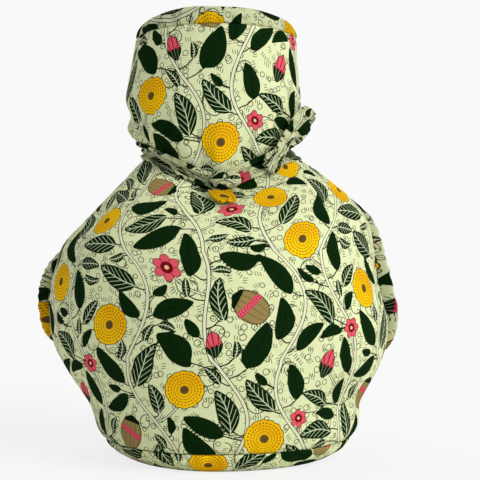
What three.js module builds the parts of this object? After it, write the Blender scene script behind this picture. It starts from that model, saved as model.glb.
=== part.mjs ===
// Gathered tea cosy in millimetres, +Z up: a hollow cloth cover that stands on its hem.
// A front and a back panel meet at two side seams, which part round the spout and the handle.
// A tie draws the neck in, a band finishes the open top, and a casing draws the hem under.
import * as THREE from 'three';

// Cloth and clearances
const CLOTH = 2.5;
const GAP = 0.3;
const SEAM_HALF_GAP = 0.22;

// Heights of the seams, the neck and the top
const HEM_LINE = 11;
const NECK = 175;
const RIM_LINE = 241.6;
const TOP = 252;

// Half-widths of the outer cloth surface at each height, to the left, right, front and back
const SECTIONS = [
  { z: 0, left: 51, right: 63.5, front: 62.5, back: 62.5 },
  { z: 5, left: 59.5, right: 71.5, front: 69, back: 68 },
  { z: 11, left: 65, right: 76.6, front: 73, back: 71.5 },
  { z: 17, left: 69, right: 80.2, front: 75.8, back: 74.3 },
  { z: 24, left: 71.4, right: 81.4, front: 77.8, back: 76.2 },
  { z: 31, left: 74, right: 81.2, front: 79.7, back: 78 },
  { z: 38, left: 78.4, right: 84.4, front: 82, back: 80.5 },
  { z: 52, left: 87.3, right: 92.3, front: 86, back: 84.5 },
  { z: 66, left: 94.4, right: 97, front: 88.5, back: 87.5 },
  { z: 80, left: 96.6, right: 97.3, front: 90, back: 89 },
  { z: 94, left: 97, right: 94.2, front: 90, back: 89 },
  { z: 108, left: 93.2, right: 91.4, front: 88, back: 87 },
  { z: 121, left: 88.6, right: 90, front: 84, back: 83.5 },
  { z: 135, left: 75.6, right: 86.2, front: 76.5, back: 77 },
  { z: 149, left: 62.2, right: 74.6, front: 66, back: 67 },
  { z: 157, left: 54.6, right: 65, front: 57.5, back: 58.5 },
  { z: 163, left: 49.4, right: 57.6, front: 50, back: 51 },
  { z: 170, left: 42.6, right: 46.8, front: 41, back: 42 },
  { z: 175, left: 40.6, right: 39.4, front: 37.4, back: 38 },
  { z: 180, left: 46, right: 42.8, front: 41, back: 40.8 },
  { z: 187, left: 51.4, right: 46, front: 44.8, back: 44 },
  { z: 194, left: 51.2, right: 47.1, front: 45.8, back: 45.2 },
  { z: 202, left: 53.7, right: 48.1, front: 46.6, back: 46.1 },
  { z: 215, left: 51.6, right: 47, front: 45.5, back: 45 },
  { z: 229, left: 49.2, right: 46, front: 44.3, back: 44 },
  { z: 242, left: 47, right: 45.2, front: 43.3, back: 43 },
  { z: 252, left: 44, right: 43.2, front: 41.5, back: 41.5 },
];

// The tie hangs in a V at the front and less at the back; the top sags at its sides
const FRONT_DIP = 20.5;
const BACK_DIP = 9;
const V_ROUNDING = 0.14;
const DIP_REACH_BELOW = 32;
const DIP_REACH_ABOVE = 26;
const RIM_SAG = { side: 5, from: 200, power: 3.5, spread: 2.4 };

// Gathers that run from the tie into the crown and the shoulders
const GATHERS = { count: 13, sway: 0.8, crown: 1.7, shoulder: 1.1, above: 14, below: 9 };

// Soft folds: turn from the right side through the front, the heights between, depth and spread
const FOLDS = [
  { turn: 4, low: 24, high: 52, depth: -2.4, spread: 7 },
  { turn: 16, low: 16, high: 78, depth: 1.8, spread: 8 },
  { turn: 40, low: 12, high: 60, depth: -1.3, spread: 9 },
  { turn: 138, low: 14, high: 66, depth: -1.5, spread: 9 },
  { turn: 160, low: 20, high: 80, depth: 1.8, spread: 8 },
  { turn: 174, low: 22, high: 58, depth: -2.2, spread: 7 },
  { turn: 174, low: 188, high: 202, depth: -1.8, spread: 12 },
  { turn: 156, low: 176, high: 210, depth: 1.2, spread: 9 },
  { turn: 152, low: 118, high: 162, depth: -1.6, spread: 8 },
  { turn: 34, low: 120, high: 164, depth: -1.5, spread: 8 },
  { turn: 215, low: 14, high: 70, depth: -1.8, spread: 10 },
  { turn: 250, low: 110, high: 164, depth: -1.8, spread: 9 },
  { turn: 292, low: 112, high: 160, depth: 1.5, spread: 10 },
  { turn: 325, low: 12, high: 74, depth: -1.7, spread: 10 },
];

// Openings in the side seams, each a pointed lens, with a binding that stands out round it
const SPOUT_SLOT = { side: 'left', middle: 90, reach: 28, half: 13, stand: 5.9, fade: 0, lowEnds: 0.9 };
const HANDLE_SLOT = { side: 'right', middle: 104, reach: 45, half: 13, stand: 7, fade: 0.75, lowEnds: 0.6 };
const BINDING = { thick: 2.4, inset: 0.45, rounding: 0.8, steps: 40 };

// Tie, its knot and its two free ends
const TIE = { half: 5, clear: 0.5, edge: 1.4, crown: 3.2, crumple: 0.4, crumples: 11 };
const KNOT = { turn: 84, wide: 8.5, deep: 5, tall: 5.6, out: 1.5, rise: 1 };
const KNOT_GROOVE = { depth: 0.12, turn: 36 };
const EAR = { fromTurn: 56, toTurn: 7, thick: 2.4, lift: 5.3, tipLift: 6.8, steps: 14 };
const EAR_LOW = { start: 170.5, rise: 23.5, power: 1.6 };
const EAR_HIGH = { start: 179.5, flare: 19.3, droop: 2.9 };
const LOOSE_END = { fromTurn: 89, toTurn: 84, high: 164.5, low: 155, half: 6.8, taper: 0.5, steps: 7 };
const LOOSE_END_LIFT = { tucked: 2.2, tip: 0.8, thick: 2 };

// Section of the hem casing, down the outside and back up the inside: the wall height that each
// point follows, its distance in from the wall, and its own height
const HEM_PROFILE = [
  { follow: HEM_LINE - GAP, inset: 0, height: HEM_LINE - GAP },
  { follow: 7, inset: 0, height: 7 },
  { follow: 3.6, inset: 0, height: 3.6 },
  { follow: 1.3, inset: 0, height: 1.3 },
  { follow: 0, inset: 1.5, height: 0 },
  { follow: 0, inset: 8, height: 0 },
  { follow: 2.5, inset: 11, height: 3 },
  { follow: HEM_LINE - GAP, inset: CLOTH + 0.6, height: HEM_LINE - GAP },
];

// Section of the rim band, up the outside, over the top and down the inside: height and distance
// out from the wall
const RIM_PROFILE = [
  { z: RIM_LINE + GAP, lift: 0.2 },
  { z: 246, lift: 0.3 },
  { z: 249.6, lift: 0 },
  { z: 251.5, lift: -0.6 },
  { z: TOP, lift: -2 },
  { z: 251.3, lift: -3.4 },
  { z: 248, lift: -3.7 },
  { z: RIM_LINE + GAP, lift: -CLOTH - 0.5 },
];

// Mesh density
const COLUMNS = 30;
const PANEL_ROWS = [
  { to: 60, steps: 7 },
  { to: 150, steps: 16 },
  { to: 170, steps: 5 },
  { to: 180, steps: 2 },
  { to: 200, steps: 5 },
  { to: RIM_LINE, steps: 6 },
];

const HALF_TURN = Math.PI;
const FULL_TURN = 2 * Math.PI;
const radians = THREE.MathUtils.degToRad;
const lerp = THREE.MathUtils.lerp;

// Half-width at height z: a cubic through the section table, with slopes from the neighbours
function halfWidth(key, z) {
  const last = SECTIONS.length - 1;
  let i = 0;
  while (i < last - 1 && z > SECTIONS[i + 1].z) {
    i += 1;
  }
  const before = SECTIONS[Math.max(i - 1, 0)];
  const from = SECTIONS[i];
  const to = SECTIONS[i + 1];
  const after = SECTIONS[Math.min(i + 2, last)];
  const span = to.z - from.z;
  const slopeFrom = (to[key] - before[key]) / (to.z - before.z) * span;
  const slopeTo = (after[key] - from[key]) / (after.z - from.z) * span;
  const t = THREE.MathUtils.clamp((z - from.z) / span, 0, 1);
  const t2 = t * t;
  const t3 = t2 * t;
  return (2 * t3 - 3 * t2 + 1) * from[key] + (t3 - 2 * t2 + t) * slopeFrom
    + (3 * t2 - 2 * t3) * to[key] + (t3 - t2) * slopeTo;
}

// Bell curve that is 1 at zero and has nearly gone two reaches away
function bell(distance, reach) {
  return Math.exp(-((distance / reach) ** 2));
}

// How far the cloth hangs below its level height: the V of the tie, and the sag of the top
function hang(turn, z) {
  const towardsFront = Math.sin(turn);
  const towardsRight = Math.cos(turn);
  const steep = Math.hypot(1, V_ROUNDING);
  const vee = (steep - Math.hypot(towardsRight, V_ROUNDING)) / (steep - V_ROUNDING);
  const dip = (towardsFront > 0 ? FRONT_DIP : BACK_DIP) * vee;
  const level = z - NECK;
  const reach = level < 0 ? DIP_REACH_BELOW : DIP_REACH_ABOVE;
  const rise = THREE.MathUtils.clamp((z - RIM_SAG.from) / (TOP - RIM_SAG.from), 0, 1);
  const topSag = RIM_SAG.side * Math.abs(towardsRight) ** RIM_SAG.spread * rise ** RIM_SAG.power;
  return dip * bell(level, reach) + topSag;
}

// Ripples round the tie, deepest beside it and uneven round the neck
function gather(turn, z) {
  const level = z - NECK;
  const size = level > 0 ? GATHERS.crown : GATHERS.shoulder;
  const reach = level > 0 ? GATHERS.above : GATHERS.below;
  const beside = bell(Math.abs(level) - TIE.half, reach);
  const unheld = THREE.MathUtils.smoothstep(Math.abs(level), 0, 2 * TIE.half);
  return size * beside * unheld * Math.cos(GATHERS.count * turn + GATHERS.sway * Math.sin(3 * turn));
}

// Sum of the soft folds at a place on the wall
function fold(turn, z) {
  let depth = 0;
  for (const row of FOLDS) {
    const middle = (row.low + row.high) / 2;
    const away = Math.atan2(Math.sin(turn - radians(row.turn)), Math.cos(turn - radians(row.turn)));
    const along = bell(z - middle, (row.high - row.low) / 2);
    depth += row.depth * along * bell(away, radians(row.spread));
  }
  return depth * THREE.MathUtils.smoothstep(z, 0, 2 * HEM_LINE);
}

// Point of the outer cloth surface. A turn of 0 is the right side and a quarter turn the front.
function wall(turn, z) {
  const towardsRight = Math.cos(turn);
  const towardsFront = Math.sin(turn);
  const wide = halfWidth(towardsRight > 0 ? 'right' : 'left', z);
  const deep = halfWidth(towardsFront > 0 ? 'front' : 'back', z);
  const point = new THREE.Vector3(towardsRight * wide, -towardsFront * deep, 0);
  const radius = point.length();
  point.multiplyScalar((radius + gather(turn, z) + fold(turn, z)) / radius);
  point.z = z - hang(turn, z);
  return point;
}

// Outward normal of the wall, from neighbouring points
function wallNormal(turn, z) {
  const step = 0.02;
  const around = wall(turn + step, z).sub(wall(turn - step, z));
  const high = Math.min(z + 0.5, TOP);
  const up = wall(turn, high).sub(wall(turn, high - 1));
  return up.cross(around).normalize();
}

// Point at a height above the wall, along its normal
function offWall(turn, z, lift) {
  return wall(turn, z).addScaledVector(wallNormal(turn, z), lift);
}

// Point at a level distance outside the wall, straight out from the axis, so that heights stay in
// order where the wall curves in
function outLevel(turn, z, distance) {
  const point = wall(turn, z);
  const flat = new THREE.Vector3(point.x, point.y, 0);
  flat.setLength(flat.length() + distance);
  flat.z = point.z;
  return flat;
}

// Point at a level distance inside the wall, at a height of its own, so that a ring lies level
function insetLevel(turn, z, inset, height) {
  return outLevel(turn, z, -inset).setZ(height);
}

// Closed mesh through a run of sections. A section lists its outer points and then its inner
// ones in reverse, so an open end is capped by joining the two halves.
function loft(sections, closed) {
  const size = sections[0].length;
  const index = [];
  const quad = (a, b, c, d) => index.push(a, b, c, a, c, d);
  const spans = closed ? sections.length : sections.length - 1;
  for (let i = 0; i < spans; i += 1) {
    const here = i * size;
    const next = ((i + 1) % sections.length) * size;
    for (let k = 0; k < size; k += 1) {
      const after = (k + 1) % size;
      quad(here + k, here + after, next + after, next + k);
    }
  }
  const lastStart = (sections.length - 1) * size;
  for (let k = 0; !closed && k < size / 2 - 1; k += 1) {
    const across = size - 1 - k;
    quad(k, across, across - 1, k + 1);
    quad(lastStart + k, lastStart + k + 1, lastStart + across - 1, lastStart + across);
  }
  const geometry = new THREE.BufferGeometry();
  const coordinates = sections.flat().flatMap((point) => point.toArray());
  geometry.setAttribute('position', new THREE.Float32BufferAttribute(coordinates, 3));
  geometry.setIndex(index);
  return faceOut(geometry);
}

// Turns the faces round where the enclosed volume comes out negative
function faceOut(geometry) {
  const place = geometry.getAttribute('position');
  const index = geometry.getIndex();
  const corners = [new THREE.Vector3(), new THREE.Vector3(), new THREE.Vector3()];
  let volume = 0;
  for (let i = 0; i < index.count; i += 3) {
    corners.forEach((corner, k) => corner.fromBufferAttribute(place, index.getX(i + k)));
    volume += corners[0].dot(corners[1].cross(corners[2]));
  }
  if (volume < 0) {
    const flipped = Array.from(index.array);
    for (let i = 0; i < flipped.length; i += 3) {
      [flipped[i], flipped[i + 1]] = [flipped[i + 1], flipped[i]];
    }
    geometry.setIndex(flipped);
  }
  geometry.computeVertexNormals();
  return geometry;
}

// Heights of the panel's rows, closer together where the shape turns quickly
function panelHeights() {
  const heights = [HEM_LINE];
  for (const stretch of PANEL_ROWS) {
    const start = heights[heights.length - 1];
    for (let i = 1; i <= stretch.steps; i += 1) {
      heights.push(lerp(start, stretch.to, i / stretch.steps));
    }
  }
  return heights;
}

// Distance from the side seam to a panel's edge at height z, in the slot on that side
function slotHalf(slot, z) {
  const along = (z - slot.middle) / slot.reach;
  return Math.max(0, slot.half * (1 - along * along));
}

// Turn, measured from the side seam, at which a panel's edge lies
function edgeTurn(slot, face, z) {
  return Math.asin((SEAM_HALF_GAP + slotHalf(slot, z)) / halfWidth(face, z));
}

// One panel, from one side seam to the other in the direction of the turn
function panel(face) {
  const heights = panelHeights();
  const sections = [];
  for (let i = 0; i <= COLUMNS; i += 1) {
    const turnAt = (z) => {
      const right = edgeTurn(HANDLE_SLOT, face, z);
      const left = HALF_TURN - edgeTurn(SPOUT_SLOT, face, z);
      const across = i / COLUMNS;
      return face === 'front' ? lerp(right, left, across) : FULL_TURN - lerp(left, right, across);
    };
    const outer = heights.map((z) => wall(turnAt(z), z));
    const inner = heights.map((z) => offWall(turnAt(z), z, -CLOTH));
    sections.push([...outer, ...inner.reverse()]);
  }
  return loft(sections, false);
}

// Ring of 2 * COLUMNS equal sections, each made by a function of the turn
function ring(sectionAt) {
  const sections = [];
  for (let i = 0; i < 2 * COLUMNS; i += 1) {
    sections.push(sectionAt(i / (2 * COLUMNS) * FULL_TURN));
  }
  return loft(sections, true);
}

// Hem casing: draws under from the hem line, and rests on a flat ring at height 0
function hemCasing() {
  return ring((turn) => HEM_PROFILE.map((row) => insetLevel(turn, row.follow, row.inset, row.height)));
}

// Rim band: stands a little proud of the crown and rolls over at the top
function rimBand() {
  return ring((turn) => RIM_PROFILE.map((row) => offWall(turn, row.z, row.lift)));
}

// Tie: a crumpled strip that lies in the neck
function neckTie() {
  return ring((turn) => {
    const crumple = TIE.crumple * Math.sin(TIE.crumples * turn);
    return [
      outLevel(turn, NECK - TIE.half, TIE.clear),
      outLevel(turn, NECK, TIE.clear),
      outLevel(turn, NECK + TIE.half, TIE.clear),
      outLevel(turn, NECK + TIE.half, TIE.edge),
      outLevel(turn, NECK + TIE.half / 2, TIE.crown - crumple),
      outLevel(turn, NECK - TIE.half / 2, TIE.crown + crumple),
      outLevel(turn, NECK - TIE.half, TIE.edge),
    ];
  });
}

// Knot: a grooved lump in front of the tie
function knot() {
  const turn = radians(KNOT.turn);
  const geometry = new THREE.SphereGeometry(1, 20, 14);
  geometry.deleteAttribute('normal');
  geometry.deleteAttribute('uv');
  const place = geometry.getAttribute('position');
  for (let i = 0; i < place.count; i += 1) {
    const p = new THREE.Vector3().fromBufferAttribute(place, i);
    const slant = Math.atan2(p.y, p.x) - radians(KNOT_GROOVE.turn);
    const swell = 1 - KNOT_GROOVE.depth * Math.cos(slant) ** 6 * Math.hypot(p.x, p.y);
    place.setXYZ(i, p.x * KNOT.wide * swell, p.z * KNOT.deep * swell, p.y * KNOT.tall * swell);
  }
  const seat = offWall(turn, NECK, TIE.crown + TIE.crumple + KNOT.deep + KNOT.out);
  geometry.translate(seat.x, seat.y, seat.z + KNOT.rise);
  return faceOut(geometry);
}

// Free end on the right: leaves the tie, climbs beside the crown and stands out past it
function tieEar() {
  const sections = [];
  for (let i = 0; i <= EAR.steps; i += 1) {
    const s = i / EAR.steps;
    const turn = radians(lerp(EAR.fromTurn, EAR.toTurn, s));
    const low = EAR_LOW.start + EAR_LOW.rise * s ** EAR_LOW.power;
    const flare = EAR_HIGH.flare * THREE.MathUtils.smoothstep(s, 0.05, 0.6);
    const high = EAR_HIGH.start + flare - EAR_HIGH.droop * THREE.MathUtils.smoothstep(s, 0.6, 1);
    const lift = lerp(EAR.lift, EAR.tipLift, s * s);
    const heights = [low, (low + high) / 2, high];
    const outer = heights.map((z) => outLevel(turn, z, lift + EAR.thick));
    const inner = heights.map((z) => outLevel(turn, z, lift));
    sections.push([...outer, ...inner.reverse()]);
  }
  return loft(sections, false);
}

// Free end under the knot: hangs over the front of the shoulder and comes to rest on it
function looseEnd() {
  const sections = [];
  for (let i = 0; i <= LOOSE_END.steps; i += 1) {
    const s = i / LOOSE_END.steps;
    const z = lerp(LOOSE_END.high, LOOSE_END.low, s);
    const middle = radians(lerp(LOOSE_END.fromTurn, LOOSE_END.toTurn, s));
    const half = radians(LOOSE_END.half) * (1 - LOOSE_END.taper * s * s);
    const lift = lerp(LOOSE_END_LIFT.tucked, LOOSE_END_LIFT.tip, s);
    const turns = [middle + half, middle, middle - half];
    const outer = turns.map((turn) => offWall(turn, z, lift + LOOSE_END_LIFT.thick));
    const inner = turns.map((turn) => offWall(turn, z, lift));
    sections.push([...outer, ...inner.reverse()]);
  }
  return loft(sections, false);
}

// Place on the wall at a distance in front of (negative y) or behind the side seam of a slot
function besideSeam(slot, y, z, lift) {
  const face = y < 0 ? 'front' : 'back';
  const lean = Math.asin(Math.abs(y) / halfWidth(face, z));
  const turn = slot.side === 'right' ? lean : HALF_TURN - lean;
  return offWall(y < 0 ? turn : -turn, z, lift);
}

// Binding round a slot: a strip on edge against the panels' cut edges, standing out of the wall
function binding(slot) {
  const endSlant = Math.hypot(1, slot.reach / (2 * slot.half));
  const onLens = (turn, inset, lift) => {
    const along = Math.cos(turn);
    const across = Math.sign(Math.sin(turn)) * (1 - along * along);
    const z = slot.middle + along * (slot.reach - inset * endSlant);
    return besideSeam(slot, across * (slot.half - inset), z, lift);
  };
  const outside = BINDING.inset;
  const middle = BINDING.inset + BINDING.thick / 2;
  const inside = BINDING.inset + BINDING.thick;
  const sections = [];
  for (let i = 0; i < BINDING.steps; i += 1) {
    const turn = i / BINDING.steps * FULL_TURN;
    const along = Math.cos(turn);
    const faded = 1 - slot.fade * Math.max(0, along);
    const stand = slot.stand * faded * (1 - slot.lowEnds * along ** 4);
    sections.push([
      onLens(turn, outside, -CLOTH),
      onLens(turn, outside, stand - BINDING.rounding),
      onLens(turn, middle, stand),
      onLens(turn, inside, stand - BINDING.rounding),
      onLens(turn, inside, -CLOTH),
    ]);
  }
  return loft(sections, true);
}

// One cloth for all pieces, with the bands and bindings a little duller
function clothMaterial(color) {
  return new THREE.MeshStandardMaterial({ color, roughness: 0.85, metalness: 0, side: THREE.DoubleSide });
}

function piece(name, geometry, color) {
  const mesh = new THREE.Mesh(geometry, clothMaterial(color));
  mesh.name = name;
  return mesh;
}

const cosy = new THREE.Group();
cosy.name = 'tea_cosy';
cosy.add(piece('front_panel', panel('front'), 0xdce4b4));
cosy.add(piece('back_panel', panel('back'), 0xd6deb0));
cosy.add(piece('hem_casing', hemCasing(), 0xbec490));
cosy.add(piece('rim_band', rimBand(), 0xc3c996));
cosy.add(piece('spout_binding', binding(SPOUT_SLOT), 0xc8ce9c));
cosy.add(piece('handle_binding', binding(HANDLE_SLOT), 0xc8ce9c));
cosy.add(piece('neck_tie', neckTie(), 0xb0ad86));
cosy.add(piece('tie_knot', knot(), 0xd8a520));
cosy.add(piece('tie_ear', tieEar(), 0xb7bf88));
cosy.add(piece('tie_end', looseEnd(), 0xc9a83a));

// The origin is at the middle of the footprint, on the surface that the hem rests on
const bounds = new THREE.Box3().setFromObject(cosy);
cosy.position.set(-(bounds.min.x + bounds.max.x) / 2, -(bounds.min.y + bounds.max.y) / 2, 0);

export default cosy;
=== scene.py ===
from math import pi, radians

import bmesh
import bpy
import numpy as np
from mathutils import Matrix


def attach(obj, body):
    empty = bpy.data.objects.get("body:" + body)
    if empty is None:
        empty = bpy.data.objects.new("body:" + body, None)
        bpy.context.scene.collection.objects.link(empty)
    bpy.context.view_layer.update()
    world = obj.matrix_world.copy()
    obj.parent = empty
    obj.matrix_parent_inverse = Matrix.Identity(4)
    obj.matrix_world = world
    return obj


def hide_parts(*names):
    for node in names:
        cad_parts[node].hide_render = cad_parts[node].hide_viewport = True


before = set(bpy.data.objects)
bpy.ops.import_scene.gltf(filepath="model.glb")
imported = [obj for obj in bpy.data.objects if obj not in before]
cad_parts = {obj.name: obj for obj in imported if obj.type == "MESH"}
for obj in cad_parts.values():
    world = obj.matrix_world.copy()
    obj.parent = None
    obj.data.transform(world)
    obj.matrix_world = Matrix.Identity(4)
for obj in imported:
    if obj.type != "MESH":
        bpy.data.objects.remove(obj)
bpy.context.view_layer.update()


# ---------------------------------------------------------------------------
# Studio
# A wide pale floor under a white sky, with a broad light from the front right and a weaker one
# from above and behind. The floor glows to the camera, so its shadow is faint. The camera is level.

CAMERA_DISTANCE = 0.720
CAMERA_RIGHT = 0.0122
CAMERA_HEIGHT = 0.1232
FOCAL_IN_FRAMES = 1241.6 / 480
SENSOR_MM = 36.0


def linear(red, green, blue):
    """Linear colour of an sRGB colour given from 0 to 255: the standard curve, on each channel."""
    c = np.array([red, green, blue]) / 255.0
    c = np.where(c <= 0.04045, c / 12.92, ((c + 0.055) / 1.055) ** 2.4)
    return (*c.tolist(), 1.0)


def grid_faces(rows, columns, wrap_rows=False, wrap_columns=False):
    """Corners of the quads between neighbouring points of a rows x columns grid, numbered row by
    row. A wrapped direction joins its last line of points to its first."""
    row = np.arange(rows if wrap_rows else rows - 1)[:, None]
    column = np.arange(columns if wrap_columns else columns - 1)[None, :]
    after = (column + 1) % columns
    below = row * columns
    above = (row + 1) % rows * columns
    corners = [below + column, below + after, above + after, above + column]
    return np.stack(np.broadcast_arrays(*corners), axis=-1).reshape(-1, 4)


def grid_object(name, points, wrap_rows=False, wrap_columns=False):
    """Smooth mesh object at the origin, made of quads between a (rows, columns, 3) grid of points
    in metres."""
    rows, columns = points.shape[:2]
    faces = grid_faces(rows, columns, wrap_rows, wrap_columns)
    mesh = bpy.data.meshes.new(name)
    mesh.from_pydata(points.reshape(-1, 3).tolist(), [], faces.tolist())
    mesh.polygons.foreach_set("use_smooth", np.ones(len(faces), dtype=bool))
    piece = bpy.data.objects.new(name, mesh)
    bpy.context.scene.collection.objects.link(piece)
    return piece


def studio_floor():
    """Level square of 12 m, as a grid of one quad."""
    side = np.linspace(-6, 6, 2)
    points = np.stack(np.broadcast_arrays(side[None, :], side[:, None], 0.0), axis=-1)
    return grid_object("studio_floor", points)


def show_camera(output, kind, share):
    """Lets the camera see an even near-white glow in place of a share of what feeds an output
    node. Light that falls on the cosy isn't changed."""
    tree = output.id_data
    surface = output.inputs["Surface"]
    glow = tree.nodes.new(kind)
    glow.inputs["Color"].default_value = BACKDROP
    to_camera = tree.nodes.new("ShaderNodeLightPath")
    part = tree.nodes.new("ShaderNodeMath")
    part.operation = "MULTIPLY"
    part.inputs[1].default_value = share
    chosen = tree.nodes.new("ShaderNodeMixShader")
    tree.links.new(to_camera.outputs["Is Camera Ray"], part.inputs[0])
    tree.links.new(part.outputs[0], chosen.inputs[0])
    tree.links.new(surface.links[0].from_socket, chosen.inputs[1])
    tree.links.new(glow.outputs[0], chosen.inputs[2])
    tree.links.new(chosen.outputs[0], surface)


BACKDROP = linear(249, 249, 249)
floor = studio_floor()
floor_paint = bpy.data.materials.new("pale_paper")
floor_paint.use_nodes = True
floor_shader = floor_paint.node_tree.nodes["Principled BSDF"]
floor_shader.inputs["Base Color"].default_value = linear(248, 248, 248)
floor_shader.inputs["Roughness"].default_value = 0.95
floor_shader.inputs["Specular IOR Level"].default_value = 0.0
show_camera(floor_paint.node_tree.nodes["Material Output"], "ShaderNodeEmission", 0.85)
floor.data.materials.append(floor_paint)


def soft_light(name, direction, spread, strength, warmth):
    """Sun lamp that shines from a direction, blurred over a spread in degrees: its -Z points
    against the direction."""
    lamp = bpy.data.lights.new(name, "SUN")
    lamp.energy = strength
    lamp.angle = radians(spread)
    lamp.color = warmth
    holder = bpy.data.objects.new(name, lamp)
    bpy.context.scene.collection.objects.link(holder)
    right, back, up = direction
    holder.rotation_euler = (np.arctan2(np.hypot(right, back), up), 0, np.arctan2(right, -back))
    return holder


soft_light("key_light", (0.72, -0.60, 0.62), 40, 2.45, (1.0, 0.985, 0.95))
soft_light("top_light", (-0.25, 0.40, 0.95), 60, 0.80, (1.0, 1.0, 1.0))

# The sky lights the cosy less than the camera sees it shine, so that the picture's ground is white
world = bpy.data.worlds.new("studio_air")
world.use_nodes = True
sky = world.node_tree
sky.nodes["Background"].inputs["Color"].default_value = linear(248, 250, 253)
sky.nodes["Background"].inputs["Strength"].default_value = 0.34
show_camera(sky.nodes["World Output"], "ShaderNodeBackground", 1.0)
bpy.context.scene.world = world
bpy.context.scene.view_settings.view_transform = "Standard"

lens = bpy.data.cameras.new("camera")
lens.sensor_width = SENSOR_MM
lens.lens = FOCAL_IN_FRAMES * SENSOR_MM
lens.clip_start = 0.05
camera = bpy.data.objects.new("camera", lens)
bpy.context.scene.collection.objects.link(camera)
camera.location = (CAMERA_RIGHT, -CAMERA_DISTANCE, CAMERA_HEIGHT)
camera.rotation_euler = (pi / 2, 0, 0)
bpy.context.scene.camera = camera


# ---------------------------------------------------------------------------
# Front and back panels
# Two shaped pieces of padded cotton, sewn to each other down both sides. Each runs from the hem
# line over the body and the shoulders, through the neck and up to the rim line.

MM = 0.001
CLOTH = 2.5
HEM_LINE = 11.0
NECK = 175.0
RIM_LINE = 241.6
TOP = 252.0

# Height, then the half-widths of the cloth to the left, right, front and back, in millimetres
SECTIONS = np.array([
    (0, 51, 63.5, 62.5, 62.5), (5, 59.5, 71.5, 69, 68), (11, 65, 76.6, 73, 71.5),
    (17, 69, 80.2, 75.8, 74.3), (24, 71.4, 81.4, 77.8, 76.2), (31, 74, 81.2, 79.7, 78),
    (38, 78.4, 84.4, 82, 80.5),
    (52, 87.3, 92.3, 86, 84.5), (66, 94.4, 97, 88.5, 87.5), (80, 96.6, 97.3, 90, 89),
    (94, 97, 94.2, 90, 89), (108, 93.2, 91.4, 88, 87), (121, 88.6, 90, 84, 83.5),
    (135, 75.6, 86.2, 76.5, 77), (149, 62.2, 74.6, 66, 67), (157, 54.6, 65, 57.5, 58.5),
    (163, 49.4, 57.6, 50, 51), (170, 42.6, 46.8, 41, 42), (175, 40.6, 39.4, 37.4, 38),
    (180, 46, 42.8, 41, 40.8), (187, 51.4, 46, 44.8, 44), (194, 51.2, 47.1, 45.8, 45.2),
    (202, 53.7, 48.1, 46.6, 46.1), (215, 51.6, 47, 45.5, 45), (229, 49.2, 46, 44.3, 44),
    (242, 47, 45.2, 43.3, 43), (252, 44, 43.2, 41.5, 41.5),
])
FRONT_DIP = 20.5
BACK_DIP = 9.0
SIDE_SAG = 5.0
SIDES = {"left": 1, "right": 2, "front": 3, "back": 4}

# Soft folds: turn in degrees from the right side through the front, lowest and highest height,
# depth (hollow below zero) and spread in degrees
FOLDS = [
    (4, 24, 52, -2.4, 7), (16, 16, 78, 1.8, 8), (40, 12, 60, -1.3, 9), (138, 14, 66, -1.5, 9),
    (160, 20, 80, 1.8, 8), (174, 22, 58, -2.2, 7), (174, 188, 202, -1.8, 12), (156, 176, 210, 1.2, 9),
    (152, 118, 162, -1.6, 8), (34, 120, 164, -1.5, 8), (215, 14, 70, -1.8, 10),
    (250, 110, 164, -1.8, 9), (292, 112, 160, 1.5, 10), (325, 12, 74, -1.7, 10),
]


def half_width(side, z):
    """Half-width of the cloth at heights z: a cubic through the section table, whose slope at each
    section is that of the line between its two neighbours."""
    height = SECTIONS[:, 0]
    width = SECTIONS[:, SIDES[side]]
    slope = np.gradient(width, height)
    slope[1:-1] = (width[2:] - width[:-2]) / (height[2:] - height[:-2])
    i = np.clip(np.searchsorted(height, z) - 1, 0, len(height) - 2)
    span = height[i + 1] - height[i]
    t = np.clip((z - height[i]) / span, 0, 1)
    rise = (1 + 2 * t) * (1 - t) ** 2 * width[i] + t * t * (3 - 2 * t) * width[i + 1]
    return rise + span * (t * (1 - t) ** 2 * slope[i] - t * t * (1 - t) * slope[i + 1])


def bell(distance, reach):
    """1 at zero, falling as the Gaussian curve, nearly gone two reaches away."""
    return np.exp(-((distance / reach) ** 2))


def smooth(low, high, x):
    """0 up to low, 1 from high on, and the smooth cubic step between them."""
    t = np.clip((x - low) / (high - low), 0, 1)
    return t * t * (3 - 2 * t)


def hang(turn, z):
    """How far the cloth hangs below its level height. The tie's V is a rounded tent over the
    sine of the turn, 20.5 mm deep in front and 9 mm behind, and fades above and below the neck.
    The top sags by up to 5 mm at both sides."""
    right = np.cos(turn)
    rounding = 0.14
    steep = np.hypot(1, rounding)
    vee = (steep - np.hypot(right, rounding)) / (steep - rounding)
    dip = np.where(np.sin(turn) > 0, FRONT_DIP, BACK_DIP) * vee
    reach = np.where(z < NECK, 32.0, 26.0)
    sag = SIDE_SAG * np.abs(right) ** 2.4
    rise = np.clip((z - 200.0) / (TOP - 200.0), 0, 1) ** 3.5
    return dip * bell(z - NECK, reach) + sag * rise


def gathers(turn, z):
    """Ripples beside the tie: 13 broad ones with a sway, and sharper pleats between them that
    fade sooner. None of them reaches under the tie."""
    level = z - NECK
    crown = level > 0
    beside = bell(np.abs(level) - 5, np.where(crown, 14, 9))
    broad = np.where(crown, 1.7, 1.1) * np.cos(13 * turn + 0.8 * np.sin(3 * turn))
    sharp = np.abs(np.sin(15.5 * turn + 1.7 * np.sin(2 * turn) + 0.6))
    pleat = np.where(crown, 1.5, 1.1) * (0.6 - sharp) * bell(np.abs(level) - 5, np.where(crown, 9, 8))
    return (beside * broad + pleat) * smooth(0, 10, np.abs(level))


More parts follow.
